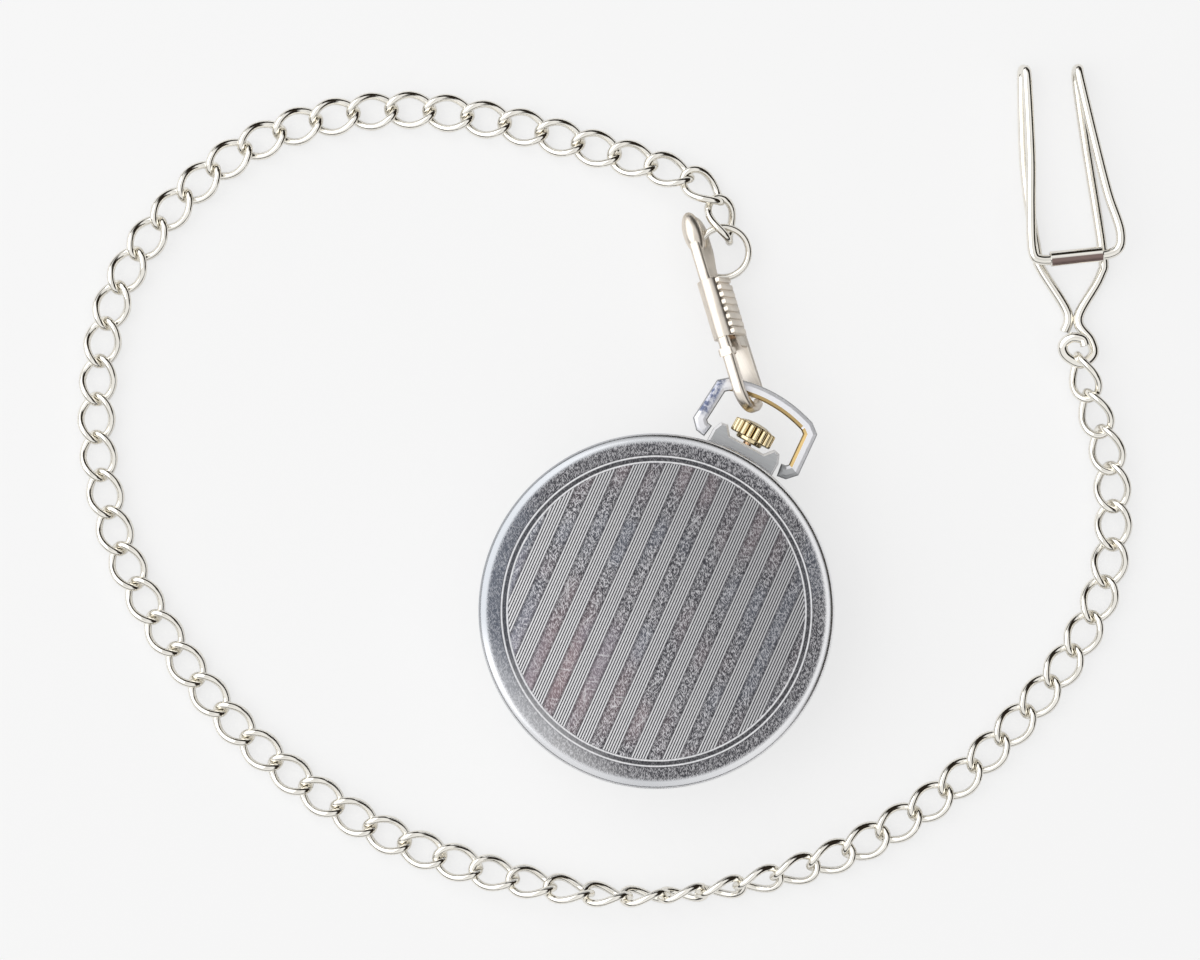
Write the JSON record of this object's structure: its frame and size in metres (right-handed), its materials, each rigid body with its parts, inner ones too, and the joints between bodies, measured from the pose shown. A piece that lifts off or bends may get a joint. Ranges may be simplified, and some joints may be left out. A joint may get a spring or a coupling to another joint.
{
  "type": "pocket watch with chain",
  "caption": "Open-face pocket watch with a wound movement, fluted crown and stirrup bow, on a curb chain with a snap clasp and a bent-wire pocket clip.",
  "frame": {"origin": "middle of the crystal's flat, on the surface that the watch lies on face down", "axes": "+Z through the case back, +Y to the pendant and crown, +X to the right of the pendant seen from above the back, which is the side of the dial's nine o'clock"},
  "size_m": [0.1439, 0.1414, 0.012],
  "materials": {
    "polished_steel": "polished",
    "brushed_steel": "brushed",
    "warm_nickel": "polished",
    "gilt_brass": "satin",
    "crystal_glass": "clear",
    "silvered_dial": "matt",
    "blued_steel": "polished"
  },
  "bodies": {
    "chain": {"chain_run_01": "warm_nickel", "chain_run_02": "warm_nickel", "chain_run_03": "warm_nickel", "chain_run_04": "warm_nickel", "chain_run_05": "warm_nickel", "chain_run_06": "warm_nickel", "chain_run_07": "warm_nickel", "chain_run_08": "warm_nickel", "chain_run_09": "warm_nickel", "chain_run_10": "warm_nickel", "chain_run_11": "warm_nickel", "chain_run_12": "warm_nickel", "chain_run_13": "warm_nickel", "jump_ring": "warm_nickel", "clasp_hook": "warm_nickel", "clasp_pin": "warm_nickel", "clasp_spring": "blued_steel", "clip_wire": "warm_nickel", "clip_barrel": "warm_nickel", "bow": "polished_steel"},
    "clasp_lever": {"clasp_lever": "warm_nickel"},
    "case": {"case_back": "brushed_steel", "case_band": "polished_steel", "bezel": "polished_steel", "crystal": "crystal_glass", "pendant": "polished_steel", "dial": "silvered_dial", "main_plate": "gilt_brass", "train_bridge": "polished_steel", "pallet_bridge": "polished_steel", "balance_cock": "polished_steel"},
    "winding_pinion": {"winding_pinion": "blued_steel"},
    "crown": {"crown": "gilt_brass", "winding_stem": "blued_steel"},
    "crown_wheel": {"crown_wheel": "polished_steel"},
    "ratchet_wheel": {"ratchet_wheel": "polished_steel"},
    "fourth_wheel": {"fourth_wheel": "gilt_brass", "seconds_hand": "blued_steel"},
    "center_wheel": {"center_wheel": "gilt_brass", "minute_hand": "blued_steel"},
    "third_wheel": {"third_wheel": "gilt_brass"},
    "escape_wheel": {"escape_wheel": "blued_steel"},
    "barrel": {"mainspring_barrel": "gilt_brass"},
    "hour_wheel": {"hour_wheel": "gilt_brass", "hour_hand": "blued_steel"},
    "pallet_fork": {"pallet_fork": "blued_steel"},
    "balance": {"balance_wheel": "gilt_brass", "hairspring": "blued_steel"}
  },
  "joints": [
    {"name": "clasp_snap", "type": "hinge", "parent": "chain", "child": "clasp_lever", "pos_m": [-0.0134, 0.04195, 0.00385], "axis": [-0.5988, -0.6904, -0.4059], "range_deg": [0, 4], "stiffness_Nm_per_rad": 0.02},
    {"name": "bow_swing", "type": "hinge", "parent": "chain", "child": "case", "pos_m": [0, 0.0249, 0.0064], "axis": [-1, 0, 0], "range_deg": [0, 75]},
    {"name": "winding_spin", "type": "hinge", "parent": "case", "child": "winding_pinion", "pos_m": [0, 0.0144, 0.0064], "axis": [0, 1, 0], "continuous": true},
    {"name": "crown_pull", "type": "slide", "parent": "winding_pinion", "child": "crown", "axis": [0, 1, 0], "range_m": [0, 0.0006]},
    {"name": "crown_wheel_spin", "type": "hinge", "parent": "case", "child": "crown_wheel", "pos_m": [0, 0.0102, 0.0097], "axis": [0, 0, 1], "continuous": true},
    {"name": "ratchet_spin", "type": "hinge", "parent": "case", "child": "ratchet_wheel", "pos_m": [0.00627, 0.00439, 0.0097], "axis": [0, 0, 1], "continuous": true},
    {"name": "seconds_spin", "type": "hinge", "parent": "case", "child": "fourth_wheel", "pos_m": [0, -0.0095, 0.0066], "axis": [0, 0, 1], "continuous": true},
    {"name": "center_spin", "type": "hinge", "parent": "case", "child": "center_wheel", "pos_m": [0, 0, 0.0059], "axis": [0, 0, 1], "continuous": true},
    {"name": "third_spin", "type": "hinge", "parent": "case", "child": "third_wheel", "pos_m": [-0.00386, -0.0052, 0.0074], "axis": [0, 0, 1], "continuous": true},
    {"name": "escape_spin", "type": "hinge", "parent": "case", "child": "escape_wheel", "pos_m": [0.00504, -0.00746, 0.0072], "axis": [0, 0, 1], "continuous": true},
    {"name": "barrel_spin", "type": "hinge", "parent": "case", "child": "barrel", "pos_m": [0.00627, 0.00439, 0.0065], "axis": [0, 0, 1], "continuous": true},
    {"name": "hour_spin", "type": "hinge", "parent": "case", "child": "hour_wheel", "pos_m": [0, 0, 0.0036], "axis": [0, 0, 1], "continuous": true},
    {"name": "pallet_rock", "type": "hinge", "parent": "case", "child": "pallet_fork", "pos_m": [0.00734, -0.00795, 0.0072], "axis": [0, 0, 1], "range_deg": [-5, 5]},
    {"name": "balance_swing", "type": "hinge", "parent": "case", "child": "balance", "pos_m": [0.00886, -0.00827, 0.0082], "axis": [0, 0, 1], "range_deg": [-135, 135], "stiffness_Nm_per_rad": 0.000002}
  ],
  "couplings": [
    {"joint": "crown_wheel_spin", "follows": "winding_spin", "ratio": 0.51852},
    {"joint": "ratchet_spin", "follows": "winding_spin", "ratio": -0.46667},
    {"joint": "center_spin", "follows": "seconds_spin", "ratio": 0.016667},
    {"joint": "third_spin", "follows": "seconds_spin", "ratio": -0.13333},
    {"joint": "escape_spin", "follows": "seconds_spin", "ratio": -10},
    {"joint": "barrel_spin", "follows": "seconds_spin", "ratio": -0.0020833},
    {"joint": "hour_spin", "follows": "seconds_spin", "ratio": 0.0013889}
  ]
}
